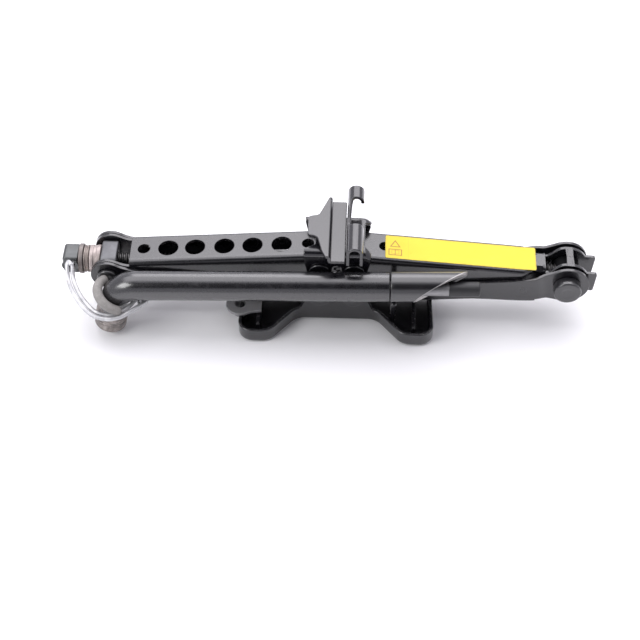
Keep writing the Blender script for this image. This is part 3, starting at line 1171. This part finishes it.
def sleeve_surface(sides=96):
    """Stations run from the seam along the outside to the slant, over the cut edge, and back
    inside. The slant ends each line at the middle length plus 19.5 mm times the cosine and less
    3.6 mm times the sine of the turn from its high side."""
    turn = np.linspace(0, 2 * math.pi, sides, endpoint=False)
    begin = SEAM_X + 0.4
    end = SLEEVE_TIP_X - 19.5 + 19.5 * np.cos(turn) - 3.6 * np.sin(turn) - begin
    end = np.minimum(end, SLEEVE_TIP_X - begin)
    around = np.outer(np.cos(turn), high_side) + np.outer(np.sin(turn), near_side)
    start = tube_point(begin)
    stations = [(0.0, 0.0, SLEEVE_R - 1.2), (0.0, 0.0, SLEEVE_R - 0.7), (0.25, 0.0, SLEEVE_R - 0.2),
                (0.8, 0.0, SLEEVE_R)]
    stations += [(1.0 - 1.0 * s, s, SLEEVE_R) for s in (0.1, 0.3, 0.5, 0.7, 0.85, 0.95)]
    stations += [(-0.35, 1.0, SLEEVE_R), (-0.08, 1.0, SLEEVE_R - 0.12), (0.0, 1.0, SLEEVE_R - 0.4),
                 (0.0, 1.0, 9.2), (-0.1, 1.0, 8.9), (-0.4, 1.0, 8.8)]
    stations += [(10.0 * (1 - s), s, 8.8) for s in (0.9, 0.6, 0.3, 0.1)]
    rings = [start + np.outer(ahead + share * end, to_tip) + radius * around
             for ahead, share, radius in stations]
    cut = [np.full(sides, 1.0 if share == 1.0 and radius > 8.8 else 0.0) for ahead, share, radius in stations]
    points, faces = outward(*with_poles(np.concatenate(rings), ring_faces(len(rings), sides), sides,
                                        start, start + to_tip * 9.0))
    return points, faces, np.concatenate(cut + [[0.0, 0.0]])


def sleeve_finish():
    """The bar's satin paint, with the cut edge bare and bright."""
    shop = Finish("sleeve_satin_black", Specular_IOR_Level=0.75, Coat_Roughness=0.20)
    cloud = shop.noise(30.0, 4.0)
    peel = shop.noise(620.0, 2.0, 0.5)
    grit = shop.noise(2800.0, 2.0, 0.7)
    cut = shop.steps(shop.mask("cut_edge"), 0.35, 0.65)
    rub = shop.steps(shop.noise(300.0, 5.0, 0.7), 0.62, 0.72)
    paint = shop.mix(cloud, (0.0045, 0.0042, 0.0060), (0.0075, 0.0072, 0.0095))
    paint = shop.mix(rub * 0.2, paint, (0.10, 0.098, 0.105))
    bare = shop.mix(grit, (0.30, 0.29, 0.285), (0.46, 0.45, 0.44))
    colour = shop.mix(cut, paint, bare)
    rough = 0.24 + cloud * 0.08 + cut * 0.12 + grit * 0.03
    return shop.surface(colour, rough, cut * 0.7, 0.9 - cut * 0.9, peel * 0.8 + grit * 0.1, 0.012)


points, faces, edge = sleeve_surface()
new_piece("sleeve_quill", points, faces, sleeve_finish(), "wrench", "satin_black", "pry_sleeve",
          cut_edge=edge)
rod_start = tube_point(SEAM_X + 0.4) + to_tip * 11.3 + np.array([0.0, -0.6, -1.6])
rod_run = np.array([rod_start + to_tip * d for d in np.linspace(0, (107.8 - rod_start[0]) / to_tip[0], 140)])
rod_path, rod_radii = rounded_ends(rod_run, 5.6, 1.2)
rod_radii = np.where((rod_path[:, 0] < 84.6) & (rod_radii > 5.2), 5.2, rod_radii)


def rod_finish():
    """A bare worn neck, grey from handling, and a matt black dipped end."""
    shop = Finish("rod_matt_black", Specular_IOR_Level=0.5)
    split = shop.add("SeparateXYZ", Vector=shop.place)
    dipped = shop.steps(split["X"] + shop.noise(500.0, 2.0) * 0.0006, 0.0847, 0.0850)
    cloud = shop.noise(180.0, 5.0, 0.7)
    grit = shop.noise(1600.0, 3.0, 0.7)
    bare = shop.mix(cloud, (0.20, 0.20, 0.205), (0.36, 0.355, 0.36))
    black = shop.mix(cloud, (0.012, 0.012, 0.013), (0.022, 0.022, 0.024))
    colour = shop.mix(dipped, bare, black)
    rough = 0.40 + cloud * 0.10 + grit * 0.05
    return shop.surface(colour, rough, 0.75 - dipped * 0.75, None, grit * 0.5 + cloud * 0.4, 0.03)


points, faces = swept(rod_path, rod_radii, (0.0, 1.0, 0.0), 40)
new_piece("pry_rod_turned", points, faces, rod_finish(), "wrench", "rod_black", "pry_rod")

# ---- Bend band ------------------------------------------------------------------------------
# A sprung rubber-covered clip snapped round the bend, open behind, that keeps the hook from
# rattling. Grey, matt and grainy, with a fine moulded rib.


def grey_rubber():
    shop = Finish("band_grey_rubber", Specular_IOR_Level=0.35)
    grain = shop.noise(1300.0, 4.0, 0.75)
    cloud = shop.noise(160.0, 5.0, 0.7)
    colour = shop.mix(cloud, (0.13, 0.125, 0.12), (0.34, 0.325, 0.31))
    colour = shop.mix(shop.steps(grain, 0.55, 0.70), colour, (0.36, 0.345, 0.335))
    return shop.surface(colour, 0.55 + grain * 0.25, None, None, grain + cloud * 0.4, 0.18)


band_share = 0.8
BAND_R = 3.7
band_mid = bend_centre + bend_spoke(band_share)
outwards = bend_spoke(band_share) / BEND_R
band_run = np.cross(outwards, (0.0, 1.0, 0.0))
band_turn = np.radians(np.linspace(-52, 112, 76))
band_spokes = np.outer(np.cos(band_turn), outwards) + np.outer(np.sin(band_turn), (0.0, -1.0, 0.0))
band_line = band_mid + (11.5 + BAND_R) * band_spokes
band_path, band_radii = rounded_ends(band_line, BAND_R, 2.7, 7)
points, faces = swept(band_path, band_radii, band_run, 28)
new_piece("band_clip", points, faces, grey_rubber(), "wrench", "band_grey", "bend_band")

# ---- Drive hook -----------------------------------------------------------------------------
# One loop of 2.9 mm bright zinc wire. Its wide end pivots on a small rivet under the bar; the
# two strands run side by side in front of the leg and reach back to the drive eye.
bright = zinc("hook_bright_zinc", (0.66, 0.66, 0.67), (0.46, 0.46, 0.475), 0.42, 0.14)
HOOK_PIN = np.array([-148.0, -36.6, 34.4])
rivet = softened([(30.9, 0), (30.9, 2.9), (32.0, 3.4), (32.7, 3.3), (32.7, 1.8), (36.5, 1.8), (36.5, 0)],
                 [0, 0.8, 0.8, 0.2, 0.1, 0.3, 0], 0.25, closed=False)
points, faces = turned(rivet, HOOK_PIN[:2], "Z", 40)
new_piece("hook_rivet", points, faces, bright, "wrench", "bright_zinc", "hook_pin")

knots = np.array([HOOK_PIN, (-151.5, -40.6, 34.3), (-156.5, -45.5, 33.2), (-163.5, -50.2, 31.8),
                  (-173.0, -52.0, 31.2), (-183.0, -49.6, 32.2), (-192.0, -41.5, 33.8),
                  (-199.0, -31.5, 35.6), (-203.6, -21.5, 38.6), (-205.2, -12.0, 45.2)])


def smooth_line(knots, count):
    """A curve through the knots: between two of them a cubic with the slope at each equal to
    half the step between its neighbours."""
    padded = np.concatenate([[2 * knots[0] - knots[1]], knots, [2 * knots[-1] - knots[-2]]])
    spot = np.linspace(0, len(knots) - 1 - 1e-9, count)
    i = spot.astype(int)
    t = (spot - i)[:, None]
    a, b, c, d = (padded[i + k] for k in range(4))
    return 0.5 * (2 * b + (c - a) * t + (2 * a - 5 * b + 4 * c - d) * t ** 2
                  + (3 * b - a - 3 * c + d) * t ** 3)


spine = smooth_line(knots, 121)
heading = np.gradient(spine, axis=0)
sideways = np.cross(heading, (0.0, 0.0, 1.0))
sideways /= np.linalg.norm(sideways, axis=1)[:, None]
spread = np.interp(np.linspace(0, 30, 121), [0, 3, 7, 30], [3.7, 3.2, 2.0, 1.95])[:, None]
ends = []
for middle, way, half in ((spine[-1], heading[-1], spread[-1]), (spine[0], -heading[0], spread[0])):
    turn = np.linspace(0, math.pi, 16)[1:-1, None]
    ends.append(middle + half * (np.cos(turn) * -sideways[0] + np.sin(turn) * way / np.linalg.norm(way)))
wire = np.concatenate([spine + sideways * spread, ends[0], (spine - sideways * spread)[::-1], ends[1]])
points, faces = swept(wire, 1.7, (0.0, 0.0, 1.0), 20, closed=True)
new_piece("hook_wire", points, faces, bright, "hook", "bright_zinc", "drive_hook", 60.0)

# ---- Ground, light and camera ---------------------------------------------------------------
# A white floor of card, a wide soft box overhead, one behind the jack and one at its left, and a
# pale sky. A dark cloth hangs behind the camera, so that the fronts of round parts stay dark.


def white_card():
    shop = Finish("white_card", Specular_IOR_Level=0.3)
    cloud = shop.noise(6.0, 3.0)
    grain = shop.noise(700.0, 2.0)
    colour = shop.mix(cloud, (0.93, 0.93, 0.94), (0.955, 0.95, 0.96))
    return shop.surface(colour, 0.75 + cloud * 0.1, None, None, grain, 0.02)


def square_net(name, points, side, material):
    """A thin square of cloth or card from its rows of points, nearest row first."""
    index = np.arange(side * side).reshape(side, side)
    quads = np.stack([index[:-1, :-1], index[:-1, 1:], index[1:, 1:], index[1:, :-1]], axis=-1).reshape(-1, 4)
    mesh = bpy.data.meshes.new(name)
    mesh.from_pydata(points.tolist(), [], quads.tolist())
    mesh.materials.append(material)
    made = bpy.data.objects.new(name, mesh)
    bpy.context.scene.collection.objects.link(made)
    return made


rows = np.linspace(-3.0, 3.0, 13)
card = np.array([(x, y, -0.0004) for y in rows for x in rows])
ground = square_net("ground_card", card, len(rows), white_card())


def soft_box(name, place, aim, width, depth, radiance, colour=(1.0, 1.0, 1.0)):
    """A rectangular lamp aimed at a point, its power the radiance times pi times its area."""
    lamp = bpy.data.lights.new(name, "AREA")
    lamp.shape = "RECTANGLE"
    lamp.size, lamp.size_y = width, depth
    lamp.energy = radiance * math.pi * width * depth
    lamp.color = colour
    made = bpy.data.objects.new(name, lamp)
    made.location = place
    made.rotation_euler = (Vector(aim) - Vector(place)).to_track_quat("-Z", "Y").to_euler()
    bpy.context.scene.collection.objects.link(made)
    return made


soft_box("box_above", (0.0, 0.45, 1.50), (0.0, 0.05, 0.0), 2.8, 1.4, 1.9, (0.985, 0.965, 1.0))
soft_box("box_behind", (0.1, 1.35, 1.20), (0.0, 0.0, 0.03), 1.7, 0.9, 2.8, (0.985, 0.965, 1.0))
soft_box("box_left", (-1.00, -0.62, 0.92), (-0.12, 0.0, 0.03), 0.75, 0.6, 6.5)


def dark_cloth():
    shop = Finish("dark_cloth", Specular_IOR_Level=0.1)
    weave = shop.noise(500.0, 2.0)
    colour = shop.mix(weave, (0.004, 0.004, 0.004), (0.010, 0.010, 0.010))
    return shop.surface(colour, 0.9 + weave * 0.05, None, None, weave, 0.05)


spread = np.linspace(-1.0, 1.0, 9)
hung = np.array([(1.5 * x, -1.16 + 0.50 * y, 1.34 + 0.43 * y) for y in spread for x in spread])
cloth = square_net("dark_cloth", hung, len(spread), dark_cloth())

world = bpy.data.worlds.new("pale_sky")
bpy.context.scene.world = world
world.use_nodes = True
world.node_tree.nodes["Background"].inputs["Color"].default_value = (0.93, 0.92, 1.0, 1.0)
world.node_tree.nodes["Background"].inputs["Strength"].default_value = 0.80
bpy.context.scene.view_settings.view_transform = "Standard"

lens = bpy.data.cameras.new("camera")
lens.lens, lens.sensor_width = 90.0, 36.0
camera = bpy.data.objects.new("camera", lens)
distance, tilt, round_by = 1.235, math.radians(47.0), math.radians(1.2)
camera.location = (distance * math.sin(round_by) * math.cos(tilt),
                   -distance * math.cos(round_by) * math.cos(tilt),
                   0.040 + distance * math.sin(tilt))
camera.rotation_euler = (math.radians(90.0 - 48.97), 0.0, math.radians(2.11))
bpy.context.scene.collection.objects.link(camera)
bpy.context.scene.camera = camera
